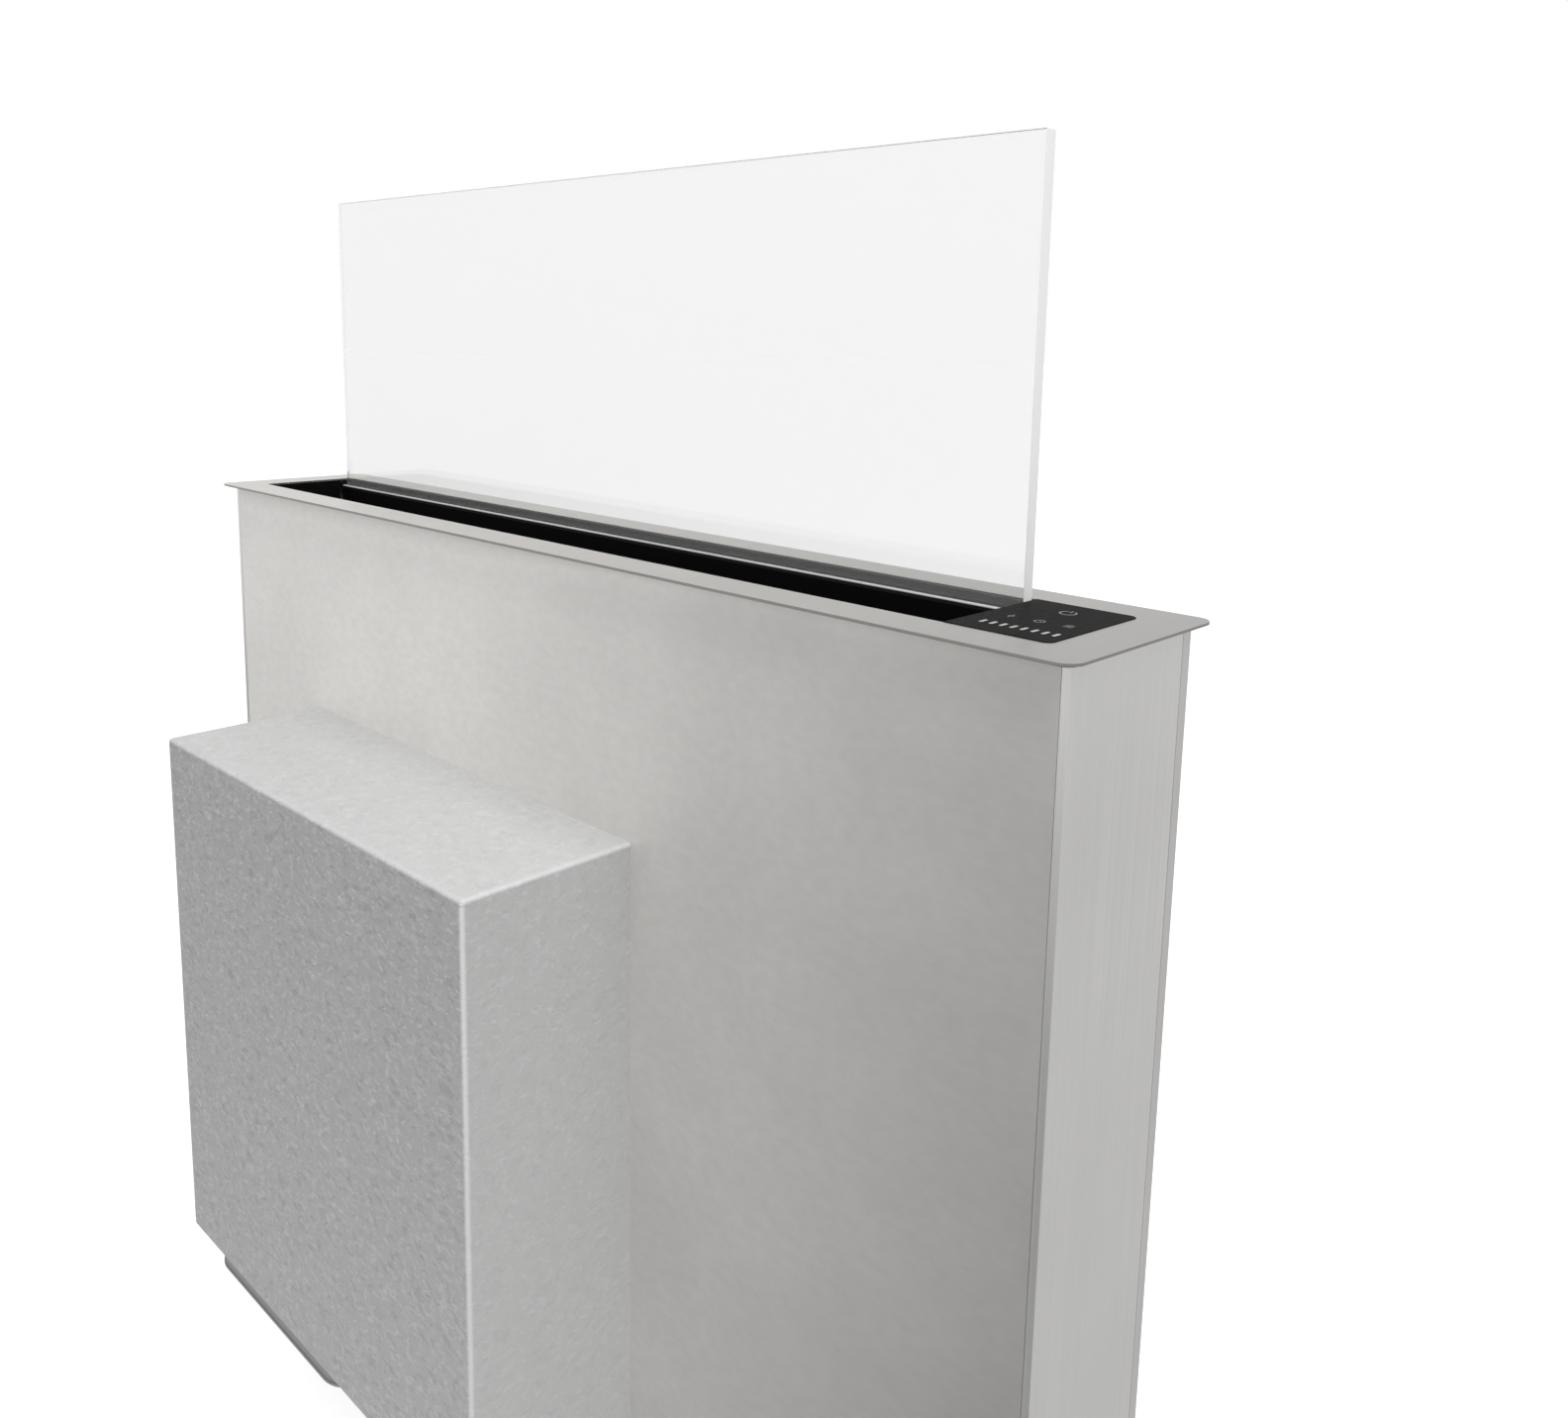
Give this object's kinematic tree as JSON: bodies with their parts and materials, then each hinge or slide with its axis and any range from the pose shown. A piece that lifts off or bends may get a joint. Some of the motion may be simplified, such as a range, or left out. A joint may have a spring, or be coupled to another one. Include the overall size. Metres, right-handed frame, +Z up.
{
  "type": "downdraft vent",
  "caption": "Pop-up downdraft vent: a glass screen that lifts from a slotted worktop frame, a touch panel, a thin sheet-metal body and a blower box on its front.",
  "frame": {"origin": "centre of the worktop cut-out, in the plane of the underside of the top frame, which lies 1 mm above the worktop on its foam seal", "axes": "+X to the right as the cook sees it, +Y away from the cook, +Z up"},
  "size_m": [0.88, 0.256, 0.9845],
  "materials": {
    "stainless": "fine brushed stainless steel, warm grey",
    "galvanised": "galvanised sheet",
    "black_paint": "matt black powder coat",
    "touch_glass": "black printed touch glass",
    "clear_glass": "clear toughened glass with polished edges",
    "black_plastic": "moulded, fine texture",
    "grey_plastic": "moulded, light grey",
    "nylon": "natural nylon, moulded",
    "aluminium": "natural anodised",
    "lamp_diffuser": "opal lamp diffuser",
    "rubber": "soft black rubber and foam",
    "polished_steel": "ground and polished steel",
    "zinc_screws": "zinc plated steel",
    "textured_grey": "grey coating with a hammered grain",
    "motor_paint": "black motor enamel",
    "circuit_board": "solder resist green"
  },
  "bodies": {
    "housing": {"frame_plate": "stainless", "front_panel": "stainless", "rear_panel": "stainless", "side_channel_left": "stainless", "side_channel_right": "stainless", "bottom_plate": "galvanised", "partition_wall": "galvanised", "scroll_housing": "galvanised", "foot_left": "galvanised", "foot_right": "galvanised", "inlet_ring": "galvanised", "slot_liner": "black_paint", "rear_liner": "black_paint", "filter_rail": "black_paint", "control_panel": "touch_glass", "control_housing": "black_plastic", "electronics_box": "black_plastic", "limit_switches": "black_plastic", "cable_gland": "black_plastic", "outlet_collar": "grey_plastic", "shaft_bearing_left": "nylon", "shaft_bearing_right": "nylon", "lift_gearbox": "aluminium", "rod_holder_left_upper": "aluminium", "rod_holder_left_lower": "aluminium", "rod_holder_right_upper": "aluminium", "rod_holder_right_lower": "aluminium", "worktop_seal": "rubber", "guide_rod_left": "polished_steel", "guide_rod_right": "polished_steel", "damper_rod": "polished_steel", "rear_screws": "zinc_screws", "foot_bolts": "zinc_screws", "blower_screws": "zinc_screws", "blower_box": "textured_grey", "motor_stator": "motor_paint", "lift_motor": "motor_paint", "control_board": "circuit_board"},
    "glass_carriage": {"glass_pane": "clear_glass", "glass_gasket": "rubber", "carriage_profile": "black_paint", "light_strip": "lamp_diffuser", "slider_left_upper": "nylon", "slider_left_lower": "nylon", "slider_right_upper": "nylon", "slider_right_lower": "nylon", "rack_left": "nylon", "rack_right": "nylon"},
    "lift_shaft": {"drive_shaft": "polished_steel", "pinion_left": "nylon", "pinion_right": "nylon"},
    "fan_rotor": {"impeller": "nylon", "motor_rotor": "motor_paint"},
    "filter_left": {"filter_frame_left": "stainless", "filter_mesh_left": "aluminium"},
    "filter_right": {"filter_frame_right": "stainless", "filter_mesh_right": "aluminium"},
    "flap_front": {"damper_flap_front": "galvanised"},
    "flap_rear": {"damper_flap_rear": "galvanised"}
  },
  "joints": [
    {"name": "glass_lift", "type": "slide", "parent": "housing", "child": "glass_carriage", "axis": [0, 0, 1], "range_m": [-0.254, 0]},
    {"name": "shaft_spin", "type": "hinge", "parent": "housing", "child": "lift_shaft", "pos_m": [0, 0.0075, -0.3], "axis": [1, 0, 0], "range_deg": [-1212.8, 0]},
    {"name": "fan_spin", "type": "hinge", "parent": "housing", "child": "fan_rotor", "pos_m": [-0.085, -0.13, -0.372], "axis": [0, 1, 0], "continuous": true},
    {"name": "filter_left_lift", "type": "slide", "parent": "housing", "child": "filter_left", "axis": [0, 0, 1], "range_m": [0, 0.16]},
    {"name": "filter_right_lift", "type": "slide", "parent": "housing", "child": "filter_right", "axis": [0, 0, 1], "range_m": [0, 0.16]},
    {"name": "flap_front_swing", "type": "hinge", "parent": "housing", "child": "flap_front", "pos_m": [-0.176, -0.1305, -0.588], "axis": [1, 0, 0], "range_deg": [0, 75], "stiffness_Nm_per_rad": 0.03, "springref_deg": -45.84},
    {"name": "flap_rear_swing", "type": "hinge", "parent": "housing", "child": "flap_rear", "pos_m": [-0.176, -0.1305, -0.588], "axis": [-1, 0, 0], "range_deg": [0, 75], "stiffness_Nm_per_rad": 0.03, "springref_deg": -45.84}
  ],
  "couplings": [
    {"joint": "shaft_spin", "follows": "glass_lift", "rad_per_m": 83.333}
  ]
}
